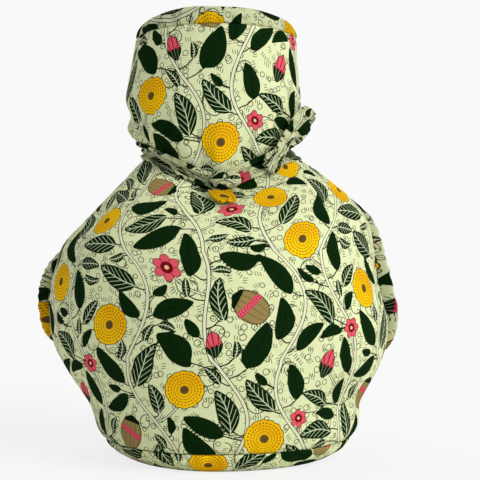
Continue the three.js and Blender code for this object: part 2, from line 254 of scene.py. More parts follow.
def folds(turn, z):
    """Sum of the soft folds, each a bell across its turn and along its height."""
    depth = np.zeros(np.broadcast(turn, z).shape)
    for middle, low, high, deep, spread in FOLDS:
        away = np.angle(np.exp(1j * (turn - radians(middle))))
        depth = depth + deep * bell(z - (low + high) / 2, (high - low) / 2) * bell(away, radians(spread))
    return depth * smooth(0, 2 * HEM_LINE, z)


def creases(turn, z):
    """Small creases that the hand leaves in padded cotton: slanting ridges in the shoulders and
    the lower body, and puckers beside the hem seam and the rim seam."""
    shoulder = bell(z - 150, 14) * np.sin(7 * turn + 0.045 * z + 1.2 * np.sin(2 * turn))
    lower = bell(z - 34, 20) * np.sin(9 * turn - 0.06 * z + np.sin(3 * turn))
    hem = bell(z - HEM_LINE, 8) * np.sin(41 * turn + 2 * np.sin(5 * turn))
    rim = bell(z - RIM_LINE, 6) * np.sin(31 * turn + 2 * np.sin(4 * turn))
    return 0.45 * shoulder + 0.5 * lower + 0.32 * hem + 0.25 * rim


def wall(turn, z):
    """Outer cloth surface in millimetres round the neck's axis. In plan it is a quarter ellipse
    between each two of the four half-widths, moved out by the gathers, folds and creases. A turn
    of 0 is the right side and a quarter turn the front."""
    turn, z = np.broadcast_arrays(np.asarray(turn, float), np.asarray(z, float))
    right = np.cos(turn)
    front = np.sin(turn)
    x = right * np.where(right > 0, half_width("right", z), half_width("left", z))
    y = -front * np.where(front > 0, half_width("front", z), half_width("back", z))
    out = 1 + (gathers(turn, z) + folds(turn, z) + creases(turn, z)) / np.hypot(x, y)
    return np.stack([x * out, y * out, z - hang(turn, z)], axis=-1)


def wall_normal(turn, z):
    """Outward unit normal of the wall, from differences to each side and up."""
    around = wall(turn + 0.01, z) - wall(turn - 0.01, z)
    top = np.minimum(z + 0.5, TOP)
    normal = np.cross(wall(turn, top) - wall(turn, top - 1), around)
    return normal / np.linalg.norm(normal, axis=-1, keepdims=True)


# From the middle of the neck to the middle of the footprint, where the origin is
AXIS = np.array([-0.603, 0.5, 0.0])


def in_place(points):
    """Points in metres from the origin, of points in millimetres from the axis."""
    return (points + AXIS) * MM


# Slots in the side seams: middle height, half height, half width, in millimetres
SPOUT_SLOT = {"side": "left", "middle": 90.0, "reach": 28.0, "half": 13.0}
HANDLE_SLOT = {"side": "right", "middle": 104.0, "reach": 45.0, "half": 13.0}


def seam_turn(slot, face, z):
    """Turn, measured from the side seam, of a panel's edge, which keeps 0.2 mm off the seam and
    follows the slot's pointed lens."""
    lens_half = slot["half"] * np.maximum(0, 1 - ((z - slot["middle"]) / slot["reach"]) ** 2)
    return np.arcsin((0.2 + lens_half) / half_width(face, z))


def run_length(points, axis):
    """Distance along a grid of points in one direction, from its first line."""
    steps = np.linalg.norm(np.diff(points, axis=axis), axis=-1)
    start = np.zeros_like(np.take(steps, [0], axis=axis))
    return np.concatenate([start, np.cumsum(steps, axis=axis)], axis=axis)


def panel_grid(face, rows, columns):
    """Points of a panel and their place on the flat cloth. Heights are spaced evenly along the
    front's profile; each row runs from one edge to the other. Across is the distance from the
    row's middle and up the distance from the hem line, both along the cloth. Within 4 mm of a
    seam the cloth is drawn in, deepest at the stitches."""
    fine = np.linspace(HEM_LINE, RIM_LINE, 1200)
    length = run_length(wall(pi / 2, fine), 0)
    z = np.interp(np.linspace(0, length[-1], rows), length, fine)[:, None]
    right = seam_turn(HANDLE_SLOT, face, z)
    left = pi - seam_turn(SPOUT_SLOT, face, z)
    share = np.linspace(0, 1, columns)[None, :]
    share = share - 0.018 * np.sin(2 * pi * share)
    turn = left + (right - left) * share
    turn = turn if face == "front" else 2 * pi - (right + (left - right) * share)
    points = wall(turn, z)
    across = run_length(points, 1)
    to_side = np.minimum(across, across[:, -1:] - across)
    across = across - across[:, columns // 2][:, None]
    up = run_length(points, 0)
    to_end = np.minimum(z - HEM_LINE, RIM_LINE - z) + 0 * turn
    drawn = 0.9 * np.clip(1 - to_side / 4, 0, 1) ** 2 + 0.4 * np.clip(1 - to_end / 3.5, 0, 1) ** 2
    points = points - drawn[..., None] * wall_normal(turn, z)
    return points, across, up


# The print. One repeat of it is charted in millimetres: four stems that sway up the cloth, leaves
# on stalks along them, round blooms, star flowers, seed heads and buds over them, and fine curls
# with rings between.
TILE = np.array([156.0, 190.0])
PRINT_TURN = radians(-7)
STEMS = [(19.0, 0.0), (58.5, 2.1), (97.0, 4.4), (137.0, 1.2)]        # start across, phase of the sway
STEM_HALF = 1.1
TWIG_HALF = 0.75
CURL_HALF = 0.27
STALK_HALF = 0.34

# Blooms: across, up, turn in degrees, size, kind (0 marigold, 1 star flower, 2 seed head, 3 bud)
BLOOMS = np.array([
    (38, 12, 10, 11.4, 0), (118, 22, 70, 10.8, 2), (156, 45, 35, 10.8, 0), (79, 47, 60, 10.2, 3),
    (39, 84, 140, 10.8, 2), (117, 86, 0, 11.4, 0), (2, 110, 20, 8.0, 1), (78, 117, 50, 11.4, 0),
    (37, 146, 15, 7.6, 1), (119, 150, 200, 11.0, 0), (154, 172, -25, 10.6, 2), (80, 178, 80, 10.8, 0),
    (98, 66, 0, 6.0, 1), (18, 66, 100, 8.8, 3), (59, 20, 30, 5.6, 1), (60, 152, 250, 10.2, 0),
], dtype=float)


def stem_across(k, up):
    """Across-position of stem k at a height: a sine of two waves per repeat, with a slower one."""
    start, phase = STEMS[k]
    wave = 2 * pi * up / TILE[1]
    return start + 8.5 * np.sin(2 * wave + phase) + 4.0 * np.sin(wave + 2 * phase)


def wrapped(difference):
    """Shortest difference between two places, as the chart repeats."""
    return (difference + TILE / 2) % TILE - TILE / 2


def chart_leaves():
    """Rows of across, up, turn, half length, half width, bend and kind, and the stalks that carry
    the leaves. Leaves are tried at seeded random places beside the stems, pointing up and away,
    and kept where a row of discs along the leaf clears every bloom, stem and earlier leaf."""
    rng = np.random.default_rng(23)
    stem_up = np.linspace(0, TILE[1], 96, endpoint=False)
    stem_lines = [np.column_stack([stem_across(k, stem_up), stem_up]) for k in range(len(STEMS))]
    stem_points = np.concatenate(stem_lines)
    discs = np.column_stack([BLOOMS[:, :2], BLOOMS[:, 3] * 0.98])
    spread = np.array([-0.8, -0.4, 0.0, 0.4, 0.8])
    rows, stalks = [], []
    for attempt in range(7800):
        k, side = rng.integers(len(STEMS)), rng.choice([-1, 1])
        up, lean, off = rng.uniform(0, TILE[1]), rng.uniform(0.1, 1.6), rng.uniform(1.0, 14.0)
        shortest = (10.5, 7.5, 5.0)[attempt // 2600]
        half = rng.uniform(shortest, 1.3 * shortest)
        slope = (stem_across(k, up + 1) - stem_across(k, up - 1)) / 2
        turn = np.arctan2(1, slope) - side * lean
        foot = np.array([stem_across(k, up), up])
        out = np.array([side * 1.0, 0.35]) / np.hypot(1, 0.35)
        base = foot + out * (STEM_HALF + off)
        heading = np.array([np.cos(turn), np.sin(turn)])
        wide = half * rng.uniform(0.39, 0.50)
        centres = base + heading * half * (1 + spread[:, None])
        radii = wide * np.array([0.62, 0.95, 1.0, 0.74, 0.3])
        near_disc = np.linalg.norm(wrapped(centres[:, None] - discs[None, :, :2]), axis=-1)
        near_stem = np.linalg.norm(wrapped(centres[:, None] - stem_points[None]), axis=-1)
        if (near_disc - radii[:, None] - discs[None, :, 2]).min() < 0.6:
            continue
        if (near_stem - radii[:, None]).min() < STEM_HALF + 0.4:
            continue
        discs = np.concatenate([discs, np.column_stack([centres, radii])])
        middle = base + heading * half
        rows.append((*middle, turn, half, wide, rng.uniform(-0.9, 0.9), rng.random() < 0.62))
        stalks.append(np.array([foot, foot + 0.55 * (base - foot) - 0.8 * heading, base + heading]))
    return np.array(rows, dtype=float), stalks


def leaf_shape(local, motif):
    """Signed distance to a pointed leaf, widest below its middle and bent sideways. Own
    coordinates are from -1 at the foot to 1 at the tip, and across it in millimetres."""
    half, wide, bend = motif[3], motif[4], motif[5]
    along = local[:, 0] / half
    inside = np.clip(along, -1, 1)
    across = local[:, 1] - bend * wide * (inside * inside - 0.3)
    width = wide * (1 - inside * inside) ** 0.72 * (1 - 0.25 * inside)
    beyond = np.maximum(np.abs(along) - 1, 0) * half
    within = (np.abs(across) < width) & (beyond <= 0)
    distance = np.hypot(np.abs(across) - width, beyond) * np.where(within, -1, 1)
    return distance, np.stack([along, across], axis=1)


def bloom_shape(local, motif):
    """Signed distance to a bloom: scalloped circle, six-petalled star, upright oval with a crown,
    or a bell on its cup. Own coordinates are in the bloom's own size."""
    size, kind = motif[3], int(motif[4])
    x, y = local[:, 0] / size, local[:, 1] / size
    r, t = np.hypot(x, y), np.arctan2(y, x)
    edge = {
        0: 0.93 + 0.07 * np.abs(np.cos(7 * t)),
        1: 0.66 + 0.34 * np.abs(np.cos(3 * t)) ** 0.8,
        2: 0.78 + 0.14 * np.cos(t) ** 2 + 0.12 * bell(t, 0.30) + 0.08 * bell(np.abs(t) - 0.5, 0.12),
        3: 0.50 + bell(t, 0.62) * (0.46 + 0.07 * np.cos(12 * t)) + 0.2 * bell(np.abs(t) - pi, 0.4),
    }[kind]
    return (r - edge) * size, np.stack([x, y], axis=1)


def nearest(flat, motifs, measure):
    """For each place on the chart, the own coordinates, signed distance and row of the motif that
    is nearest by its own measure."""
    best = np.full(len(flat), 1e9)
    own = np.zeros((len(flat), 2))
    row = np.zeros(len(flat), dtype=int)
    for i, motif in enumerate(motifs):
        away = wrapped(flat - motif[:2])
        close = np.flatnonzero(np.abs(away).max(axis=1) < 2.2 * motif[3] + 4)
        c, s = np.cos(motif[2]), np.sin(motif[2])
        away = away[close]
        local = np.stack([away[:, 0] * c + away[:, 1] * s, away[:, 1] * c - away[:, 0] * s], axis=1)
        distance, kept = measure(local, motif)
        closer = distance < best[close]
        best[close[closer]] = distance[closer]
        own[close[closer]] = kept[closer]
        row[close[closer]] = i
    return own, np.minimum(best, 30.0), row


def line_distance(flat, paths):
    """Signed and unsigned distance to the nearest of some lines, each an (n, 2) array of points.
    The sign tells the side, so that a thin line keeps its width between two vertices."""
    best = np.full(len(flat), 30.0)
    signed = np.full(len(flat), 30.0)
    for path in paths:
        for start, end in zip(path[:-1], path[1:]):
            away = wrapped(flat - start)
            run = end - start
            length = np.hypot(*run)
            close = np.flatnonzero(np.abs(away).max(axis=1) < length + 6)
            run = run / length
            away = away[close]
            off = away - np.clip(away @ run, 0, length)[:, None] * run
            distance = np.hypot(off[:, 0], off[:, 1])
            side = run[0] * away[:, 1] - run[1] * away[:, 0]
            closer = distance < best[close]
            best[close[closer]] = distance[closer]
            signed[close[closer]] = side[closer]
    return signed, best


def bent_line(start, bow, end, count):
    """Points of the parabola from start to end that is drawn towards bow."""
    t = np.linspace(0, 1, count)[:, None]
    return (1 - t) ** 2 * start + 2 * t * (1 - t) * bow + t * t * end


def chart_twigs():
    """Short curved twigs from the nearest stem to each bloom."""
    paths = []
    for across, up, _, size, _ in BLOOMS:
        foot_up = up - 17
        gaps = [wrapped(np.array([stem_across(k, foot_up) - across, 0]))[0] for k in range(len(STEMS))]
        gap = min(gaps, key=abs)
        start, end = np.array([across + gap, foot_up]), np.array([across, up])
        paths.append(bent_line(start, np.array([across + 0.3 * gap, foot_up + 2.0]), end, 7))
    return paths


def chart_curls():
    """Fine curls that leave the stems: arcs that wind in over one and a quarter turns."""
    paths = []
    s = np.linspace(0, 1, 16)
    for k in range(len(STEMS)):
        for i in range(9):
            up = (i + 0.5) * TILE[1] / 9 + 4 * np.sin(2 * i + k)
            side = 1 if (i + k) % 2 else -1
            size = 7.5 + 2.5 * np.sin(1.7 * i + k)
            angle = side * (0.4 + 6.4 * s ** 0.9) - 0.5
            radius = size * (1 - 0.68 * s)
            x = stem_across(k, up) + side * (size + 1.5) - side * radius * np.cos(angle)
            paths.append(np.column_stack([x, up + side * radius * np.sin(angle)]))
    return paths


LEAVES, STALKS = chart_leaves()
STEM_UP = np.linspace(0, TILE[1], 49)
LINES = {
    "stem": [np.column_stack([stem_across(k, STEM_UP), STEM_UP]) for k in range(len(STEMS))],
    "twig": chart_twigs(),
    "stalk": STALKS,
    "curl": chart_curls(),
}
TURNED_BLOOMS = np.column_stack([BLOOMS[:, :2], np.radians(BLOOMS[:, 2]), BLOOMS[:, 3:]])


def print_cloth(piece, across, up, shift, turn=PRINT_TURN):
    """Gives a piece its cloth map and stores the print on its face corners. Every place on the
    flat cloth is turned and moved onto the chart, and keeps the nearest motif's own coordinates
    and signed distance, which the shader turns into crisp shapes."""
    corner = grid_faces(*across.shape).ravel()
    across, up = across.ravel(), up.ravel()
    layer = piece.data.uv_layers.new(name="cloth")
    place = np.stack([across, up], axis=-1) * MM
    layer.data.foreach_set("uv", place[corner].astype(np.float32).ravel())
    c, s = np.cos(turn), np.sin(turn)
    flat = np.stack([across * c - up * s + shift[0], across * s + up * c + shift[1]], axis=1)
    layers = {}
    shapes = (("leaf", LEAVES, leaf_shape, 6), ("bloom", TURNED_BLOOMS, bloom_shape, 4))
    for name, motifs, measure, kind in shapes:
        own, distance, row = nearest(flat, motifs, measure)
        layers[name] = np.column_stack([own, distance])
        layers[name + "_kind"] = motifs[row, kind]
    for name, paths in LINES.items():
        signed, distance = line_distance(flat, paths)
        layers[name] = np.column_stack([signed, distance, 0 * distance])
    for name, values in layers.items():
        vector = values.ndim == 2
        stored = piece.data.attributes.new(name, "FLOAT_VECTOR" if vector else "FLOAT", "CORNER")
        flat_values = values[corner].astype(np.float32).ravel()
        stored.data.foreach_set("vector" if vector else "value", flat_values)


class Wiring:
    """Short calls that add nodes to a tree and return their output socket."""

    def __init__(self, tree):
        self.tree = tree

    def node(self, kind, **settings):
        made = self.tree.nodes.new(kind)
        for name, value in settings.items():
            setattr(made, name, value)
        return made

    def feed(self, socket, value):
        if isinstance(value, bpy.types.NodeSocket):
            self.tree.links.new(value, socket)
        else:
            socket.default_value = value

    def math(self, operation, a, b=0.0, c=0.0, clamp=False):
        made = self.node("ShaderNodeMath", operation=operation, use_clamp=clamp)
        for socket, value in zip(made.inputs, (a, b, c)):
            self.feed(socket, value)
        return made.outputs[0]

    def below(self, value, edge, soft=0.06):
        """1 where value is under edge, with a soft change as wide as soft."""
        return self.math("MULTIPLY_ADD", self.math("SUBTRACT", edge, value), 1 / soft, 0.5, clamp=True)

    def mix(self, share, first, second):
        made = self.node("ShaderNodeMix", data_type="RGBA")
        self.feed(made.inputs["Factor"], share)
        self.feed(made.inputs["A"], first)
        self.feed(made.inputs["B"], second)
        return made.outputs["Result"]

    def parts(self, name):
        """The three numbers of a vector attribute."""
        attribute = self.node("ShaderNodeAttribute", attribute_name=name)
        split = self.node("ShaderNodeSeparateXYZ")
        self.feed(split.inputs[0], attribute.outputs["Vector"])
        return split.outputs

    def number(self, name):
        return self.node("ShaderNodeAttribute", attribute_name=name).outputs["Fac"]

    def cloth_map(self):
        return self.node("ShaderNodeUVMap", uv_map="cloth").outputs[0]

    def noise(self, vector, scale, detail=2.0, roughness=0.5):
        made = self.node("ShaderNodeTexNoise")
        self.feed(made.inputs["Vector"], vector)
        made.inputs["Scale"].default_value = scale
        made.inputs["Detail"].default_value = detail
        made.inputs["Roughness"].default_value = roughness
        return made.outputs["Fac"]


def new_group(name, inputs, outputs):
    """Node group with named sockets: (name, type, value) going in and (name, type) coming out."""
    tree = bpy.data.node_groups.new(name, "ShaderNodeTree")
    for label, kind, value in inputs:
        tree.interface.new_socket(label, in_out="INPUT", socket_type=kind).default_value = value
    for label, kind in outputs:
        tree.interface.new_socket(label, in_out="OUTPUT", socket_type=kind)
    return tree, Wiring(tree), tree.nodes.new("NodeGroupInput"), tree.nodes.new("NodeGroupOutput")


GROUND = linear(228, 235, 188)
GROUND_WORN = linear(214, 222, 168)
DARK_LEAF = linear(7, 28, 7)
LEAF_LIGHT = linear(16, 46, 12)
LEAF_VEIN = linear(206, 218, 178)
OUTLINE = linear(24, 26, 12)
STEM_CREAM = linear(228, 232, 196)
FINE_LINE = linear(40, 44, 14)
GOLD = linear(255, 200, 6)
AMBER = linear(236, 166, 4)
CORAL = linear(226, 88, 104)
WINE = linear(120, 12, 26)
TAUPE = linear(150, 132, 78)
TAUPE_DARK = linear(92, 74, 40)


def ground_lines(wire, flat, cell, seed):
    """Mask of the fine drawing on the ground: in each cell of a Voronoi pattern, a small ring, a
    few short strokes side by side, or a sprig of one long stroke and two short ones."""
    moved = wire.node("ShaderNodeVectorMath", operation="ADD")
    wire.feed(moved.inputs[0], flat)
    moved.inputs[1].default_value = (seed, 1.7 * seed, 0)
    flat = moved.outputs[0]
    cells = wire.node("ShaderNodeTexVoronoi", voronoi_dimensions="2D")
    wire.feed(cells.inputs["Vector"], flat)
    cells.inputs["Scale"].default_value = 1 / cell
    cells.inputs["Randomness"].default_value = 0.75
    dice = wire.node("ShaderNodeSeparateColor")
    wire.feed(dice.inputs[0], cells.outputs["Color"])
    choice = dice.outputs["Red"]
    ring_size = wire.math("MULTIPLY_ADD", dice.outputs["Green"], 0.00055 / cell, 0.00115 / cell)
    off_ring = wire.math("ABSOLUTE", wire.math("SUBTRACT", cells.outputs["Distance"], ring_size))
    ring = wire.below(off_ring, 0.0002 / cell, 0.0001 / cell)
    ring = wire.math("MULTIPLY", ring, wire.below(choice, 0.42, 0.01))
    away = wire.node("ShaderNodeVectorMath", operation="SUBTRACT")
    wire.feed(away.inputs[0], flat)
    wire.feed(away.inputs[1], cells.outputs["Position"])
    turned = wire.node("ShaderNodeVectorRotate", rotation_type="Z_AXIS")
    wire.feed(turned.inputs["Vector"], away.outputs[0])
    wire.feed(turned.inputs["Angle"], wire.math("MULTIPLY_ADD", dice.outputs["Blue"], 2.6, -0.8))
    split = wire.node("ShaderNodeSeparateXYZ")
    wire.feed(split.inputs[0], turned.outputs[0])
    x, y = split.outputs["X"], split.outputs["Y"]
    stroke = wire.below(wire.math("PINGPONG", x, 0.00065), 0.00018, 0.0001)
    reach_across = wire.below(wire.math("ABSOLUTE", x), 0.0023, 0.0001)
    slanted = wire.math("ABSOLUTE", wire.math("MULTIPLY_ADD", x, 0.35, y))
    hatch = wire.math("MULTIPLY", reach_across, wire.below(slanted, 0.0012, 0.0002))
    hatch = wire.math("MULTIPLY", stroke, hatch)
    hatch = wire.math("MULTIPLY", hatch, wire.below(0.42, choice, 0.01))
    return wire.math("MAXIMUM", ring, hatch)


def line_mask(wire, name, half):
    """Mask of a drawn line from its attribute, and the distance from its middle."""
    signed, unsigned, _ = wire.parts(name)
    width = wire.math("ABSOLUTE", signed)
    near = wire.below(unsigned, half + 0.9, 0.5)
    return wire.math("MULTIPLY", wire.below(width, half, 0.12), near), width


def printed_cotton():
    """Group that turns the charted print into colour, from the ground up: fine drawing, curls,
    stalks, stems, leaves and blooms. Ink is 1 on leaves and blooms."""
    inputs = [("Ground", "NodeSocketColor", GROUND)]
    outputs = [("Color", "NodeSocketColor"), ("Ink", "NodeSocketFloat")]
    tree, wire, entry, leave = new_group("printed_cotton", inputs, outputs)
    flat = wire.cloth_map()

    drawn = ground_lines(wire, flat, 0.0061, 0.0)
    drawn = wire.math("MAXIMUM", drawn, ground_lines(wire, flat, 0.0073, 0.31))
    curl, _ = line_mask(wire, "curl", CURL_HALF)
    drawn = wire.math("MAXIMUM", drawn, curl)
    uneven = wire.math("MULTIPLY_ADD", wire.noise(flat, 300.0), 0.4, 0.75)
    mottle = wire.math("MULTIPLY_ADD", wire.noise(flat, 420.0, 3.0, 0.65), 1.6, -0.45, clamp=True)
    ground = wire.mix(mottle, entry.outputs["Ground"], GROUND_WORN)
    color = wire.mix(wire.math("MULTIPLY", drawn, uneven, clamp=True), ground, FINE_LINE)
    stalk, _ = line_mask(wire, "stalk", STALK_HALF)
    color = wire.mix(stalk, color, OUTLINE)

    for name, half in (("twig", TWIG_HALF), ("stem", STEM_HALF)):
        whole, width = line_mask(wire, name, half)
        color = wire.mix(whole, color, OUTLINE)
        core = wire.math("MULTIPLY", whole, wire.below(width, half - 0.36, 0.12))
        color = wire.mix(core, color, STEM_CREAM)

    along, across, distance = wire.parts("leaf")
    shape = wire.below(distance, 0.0, 0.12)
    side = wire.math("ABSOLUTE", across)
    slanted = wire.math("MULTIPLY_ADD", side, -0.12, along)
    comb = wire.math("PINGPONG", slanted, 0.155)
    rib = wire.math("MULTIPLY", wire.below(comb, 0.02, 0.016), wire.below(distance, -0.85, 0.25))
    midrib = wire.math("MULTIPLY", wire.below(side, 0.27, 0.12), wire.below(along, 0.86, 0.05))
    veins = wire.math("MULTIPLY", wire.math("MAXIMUM", rib, midrib), wire.number("leaf_kind"))
    leaf = wire.mix(wire.noise(flat, 700.0, 3.0, 0.6), DARK_LEAF, LEAF_LIGHT)
    leaf = wire.mix(wire.math("MULTIPLY", wire.below(side, 0.5, 0.3), 0.6), leaf, DARK_LEAF)
    leaf = wire.mix(veins, leaf, LEAF_VEIN)
    color = wire.mix(shape, color, leaf)

    x, y, distance = wire.parts("bloom")
    kind = wire.number("bloom_kind")
    squares = wire.math("ADD", wire.math("MULTIPLY", x, x), wire.math("MULTIPLY", y, y))
    radius = wire.math("SQRT", squares)
    angle = wire.math("ARCTAN2", y, x)
    ringwise = wire.math("PINGPONG", wire.math("MULTIPLY", radius, 7.0), 0.5)
    rayed = wire.math("ABSOLUTE", wire.math("COSINE", wire.math("MULTIPLY", angle, 14.0)))
    dots = wire.math("MULTIPLY", wire.below(0.33, ringwise, 0.1), wire.below(0.66, rayed, 0.2))
    dots = wire.math("MULTIPLY", dots, wire.below(radius, 0.88, 0.02))
    shade = wire.below(0.15, wire.math("MULTIPLY_ADD", y, 0.9, x), 0.9)
    gold = wire.mix(wire.math("MULTIPLY", shade, 0.55), GOLD, AMBER)
    gold = wire.mix(wire.below(radius, 0.2, 0.05), gold, TAUPE_DARK)
    gold = wire.mix(dots, gold, TAUPE_DARK)

    lobes = wire.math("ABSOLUTE", wire.math("COSINE", wire.math("MULTIPLY", angle, 3.0)))
    petals = wire.below(lobes, 0.12, 0.08)
    star = wire.mix(wire.below(radius, 0.42, 0.05), CORAL, WINE)
    star = wire.mix(wire.below(radius, 0.15, 0.04), star, linear(238, 200, 150))
    star = wire.mix(wire.math("MULTIPLY", petals, wire.below(0.42, radius, 0.05)), star, WINE)

    swell = wire.math("SUBTRACT", 1.0, wire.math("MULTIPLY", x, x))
    swell = wire.math("SQRT", wire.math("MAXIMUM", swell, 0.02))
    rib = wire.below(wire.math("PINGPONG", wire.math("DIVIDE", y, swell), 0.17), 0.016, 0.02)
    pod = wire.mix(rib, TAUPE, TAUPE_DARK)
    off_belt = wire.math("SUBTRACT", x, wire.math("MULTIPLY_ADD", y, 0.25, 0.12))
    belt = wire.below(wire.math("ABSOLUTE", off_belt), 0.17, 0.02)
    pod = wire.mix(belt, pod, wire.mix(dots, CORAL, WINE))
    pod = wire.mix(wire.below(0.66, x, 0.03), pod, DARK_LEAF)

    strip = wire.math("PINGPONG", wire.math("DIVIDE", y, wire.math("ADD", x, 1.5)), 0.08)
    bud = wire.mix(wire.below(strip, 0.016, 0.014), CORAL, WINE)
    jag = wire.math("MULTIPLY_ADD", wire.math("PINGPONG", y, 0.13), 1.6, -0.06)
    cup = wire.mix(wire.below(strip, 0.018, 0.014), LEAF_LIGHT, LEAF_VEIN)
    bud = wire.mix(wire.below(x, jag, 0.04), bud, wire.mix(0.75, cup, DARK_LEAF))

    bloom = wire.mix(wire.below(0.5, kind, 0.1), gold, star)
    bloom = wire.mix(wire.below(1.5, kind, 0.1), bloom, pod)
    bloom = wire.mix(wire.below(2.5, kind, 0.1), bloom, bud)
    bloom = wire.mix(wire.below(-0.42, distance, 0.1), bloom, OUTLINE)
    body = wire.below(distance, 0.0, 0.12)
    color = wire.mix(body, color, bloom)

    tree.links.new(color, leave.inputs["Color"])
    tree.links.new(wire.math("MAXIMUM", shape, body), leave.inputs["Ink"])
    return tree


def plain_weave():
    """Group for the cloth's threads, half a millimetre apart: each thread is a rounded ridge that
    goes over and under by turns. Height is for the bump and Shade darkens the gaps."""
    inputs = [("Pitch", "NodeSocketFloat", 0.0005)]
    outputs = [("Height", "NodeSocketFloat"), ("Shade", "NodeSocketFloat")]
    tree, wire, entry, leave = new_group("plain_weave", inputs, outputs)
    flat = wire.cloth_map()
    split = wire.node("ShaderNodeSeparateXYZ")
    wire.feed(split.inputs[0], flat)
    phase = wire.math("DIVIDE", pi, entry.outputs["Pitch"])
    warp = wire.math("SINE", wire.math("MULTIPLY", split.outputs["X"], phase))
    weft = wire.math("SINE", wire.math("MULTIPLY", split.outputs["Y"], phase))
    over = wire.math("MULTIPLY", warp, weft)
    ridge = wire.math("ADD", wire.math("ABSOLUTE", warp), wire.math("ABSOLUTE", weft))
    height = wire.math("MULTIPLY_ADD", over, 0.5, ridge)
    slub = wire.noise(flat, 700.0, 3.0, 0.6)
    height = wire.math("MULTIPLY_ADD", slub, 0.9, height)
    shade = wire.math("MULTIPLY_ADD", height, 0.05, 0.88)
    tree.links.new(height, leave.inputs["Height"])
    tree.links.new(wire.math("MINIMUM", shade, 1.0), leave.inputs["Shade"])
    return tree


PRINTED = printed_cotton()
WEAVE = plain_weave()


def cotton(name, ground=GROUND, painted_light_scale=1.0, crease=0.0014, faded=0.0):
    """Cotton cloth: the print on its ground, times a painted light scale, over the weave. That scale
    is painted shade where it is below 1 and painted light where it is above 1. Large faint patches
    keep the dye from being even, and a slow noise gives the bump its soft creases. Faded is how
    far the print sinks into the ground, as on the reverse."""
    material = bpy.data.materials.new(name)
    material.use_nodes = True
    wire = Wiring(material.node_tree)
    shader = material.node_tree.nodes["Principled BSDF"]
    print_node = wire.node("ShaderNodeGroup", node_tree=PRINTED)
    print_node.inputs["Ground"].default_value = ground
    weave_node = wire.node("ShaderNodeGroup", node_tree=WEAVE)
    flat = wire.cloth_map()
    color = wire.mix(faded, print_node.outputs["Color"], ground)
    dye_patches_and_painted_light = wire.noise(flat, 22.0, 3.0, 0.6)
    # The dye patches are multiplied by the painted light scale: painted shade on the rim, bindings and tie,
    # painted light on the hem casing
    dye_patches_and_painted_light = wire.math("MULTIPLY_ADD", dye_patches_and_painted_light, 0.16 * painted_light_scale, 0.92 * painted_light_scale)
    scaled = wire.node("ShaderNodeVectorMath", operation="SCALE")
    wire.feed(scaled.inputs[0], color)
    wire.feed(scaled.inputs["Scale"], wire.math("MULTIPLY", dye_patches_and_painted_light, weave_node.outputs["Shade"]))
    wire.feed(shader.inputs["Base Color"], scaled.outputs[0])
    roughness = wire.math("MULTIPLY_ADD", print_node.outputs["Ink"], -0.08, 0.86)
    wire.feed(shader.inputs["Roughness"], roughness)
    shader.inputs["Specular IOR Level"].default_value = 0.02

    soft_bump = wire.node("ShaderNodeBump")
    soft_bump.inputs["Distance"].default_value = crease
    soft_bump.inputs["Strength"].default_value = 0.5
    wire.feed(soft_bump.inputs["Height"], wire.noise(flat, 60.0, 3.0, 0.55))
    thread_bump = wire.node("ShaderNodeBump")
    thread_bump.inputs["Distance"].default_value = 0.00008
    thread_bump.inputs["Strength"].default_value = 0.6
    wire.feed(thread_bump.inputs["Height"], weave_node.outputs["Height"])
    wire.feed(thread_bump.inputs["Normal"], soft_bump.outputs["Normal"])
    wire.feed(shader.inputs["Normal"], thread_bump.outputs["Normal"])
    return material


panel_cotton = cotton("cotton_panels")
reverse_cotton = cotton("cotton_reverse", ground=linear(214, 219, 186), faded=0.8)


def give_thickness(piece, thickness):
    """Solidify inwards from the outer surface, by a thickness in millimetres; the inside takes
    the reverse of the cloth."""
    piece.data.materials.append(reverse_cotton)
    solidify = piece.modifiers.new("thickness", "SOLIDIFY")
    solidify.thickness = thickness * MM
    solidify.offset = -1.0
    solidify.use_even_offset = False
    solidify.material_offset = 1


def place_piece(piece, node):
    """Rides on the one body and stands for its node."""
    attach(piece, "root")
    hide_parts(node)


def make_panel(face, shift):
    """One panel with its print and thickness, and the width and length it was cut to."""
    points, across, up = panel_grid(face, 216, 188)
    piece = grid_object(face + "_cloth", in_place(points))
    print_cloth(piece, across, up, shift)
    piece.data.materials.append(panel_cotton)
    give_thickness(piece, CLOTH)
    place_piece(piece, face + "_panel")
    return piece, (float(np.ptp(across)) * MM, float(up.max()) * MM)


front_cloth, front_cut = make_panel("front", (12.0, 6.0))
back_cloth, back_cut = make_panel("back", (74.0, 101.0))


# ---------------------------------------------------------------------------
# Hem casing
# A strip of the same cotton, cut on its own and folded over the elastic that draws the hem under.
# It is sewn to the panels at the hem line and stands on a level ring.

# Down the inside, across the floor and up the outside: the wall height that each point follows,
# its distance in from the wall, and its own height
CASING_PROFILE = np.array([
    (10.7, 3.1, 10.7), (8.2, 7.2, 7.6), (5.0, 9.6, 5.2), (2.5, 11.0, 3.0), (0.8, 10.2, 0.8), (0.0, 8.2, 0.0),
    (0.0, 5.0, 0.0), (0.0, 2.2, 0.0), (0.4, 0.8, 0.45), (1.3, 0.1, 1.3), (2.6, -0.1, 2.6), (4.4, -0.2, 4.4),
    (6.4, -0.2, 6.4), (8.3, -0.15, 8.3), (9.8, 0.05, 9.8), (10.7, 0.7, 10.7),
])
BAND_TURNS = 420


def ring_turns():
    """Turns of the columns of a ring, one way round so that its faces point out."""
    return -np.arange(BAND_TURNS) / BAND_TURNS * 2 * pi


def in_between(table, steps):
    """Rows of a closed profile with steps - 1 more between each two, on a straight line."""
    closed = np.concatenate([table, table[:1]])
    place = np.arange(len(table) * steps) / steps
    return np.stack([np.interp(place, np.arange(len(closed)), column) for column in closed.T], axis=1)


def out_level(turn, z, distance):
    """Point at a level distance outside the wall, straight out from the axis."""
    point = wall(turn, z)
    scale = 1 + distance / np.hypot(point[..., 0], point[..., 1])
    return np.stack([point[..., 0] * scale, point[..., 1] * scale, point[..., 2]], axis=-1)


